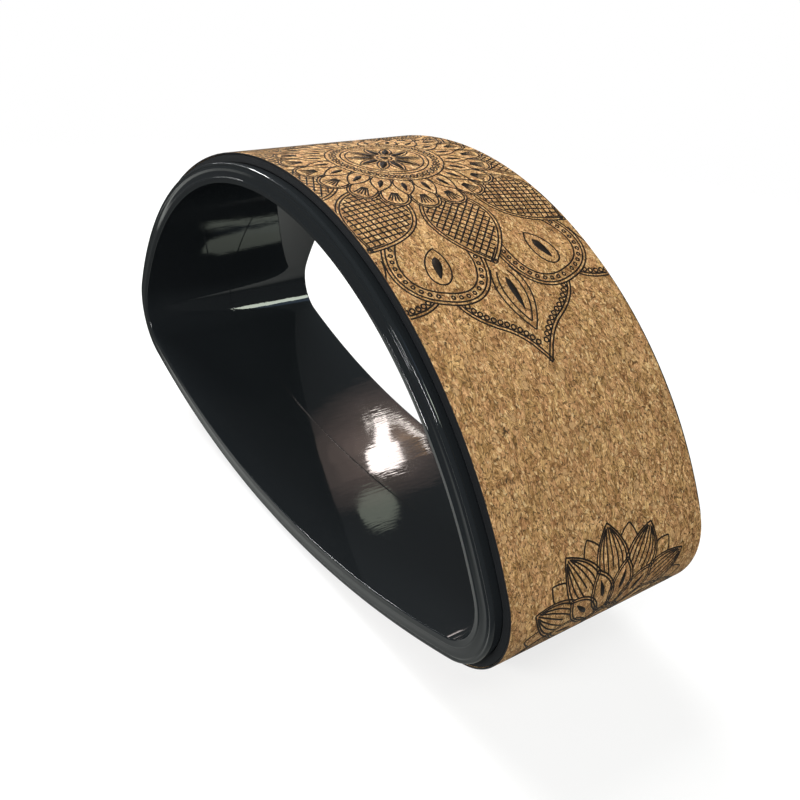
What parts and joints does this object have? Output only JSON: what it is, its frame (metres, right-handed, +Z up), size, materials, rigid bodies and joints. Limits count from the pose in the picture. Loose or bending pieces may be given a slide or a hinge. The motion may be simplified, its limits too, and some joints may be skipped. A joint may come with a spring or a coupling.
{
  "type": "half yoga wheel",
  "caption": "Hollow lens-shaped half wheel for back stretches, with a round crown, a rocking underside, a cork and foam wrap and glossy moulded rims.",
  "frame": {"origin": "on the ground under the middle of the rounded underside, half way along and half way across", "axes": "+X along the length, +Y across the width from the front rim to the rear rim, +Z up to the crown"},
  "size_m": [0.4498, 0.145, 0.234],
  "materials": {
    "shell": "high gloss moulded ABS, black",
    "foam": "matte closed-cell foam, black with a trace of blue",
    "cork": "matte pressed cork granules",
    "print": "matte dark brown ink printed on cork"
  },
  "bodies": {
    "root": {"front_shell": "shell", "rear_shell": "shell", "foam_band": "foam", "cork_band": "cork"}
  },
  "joints": []
}
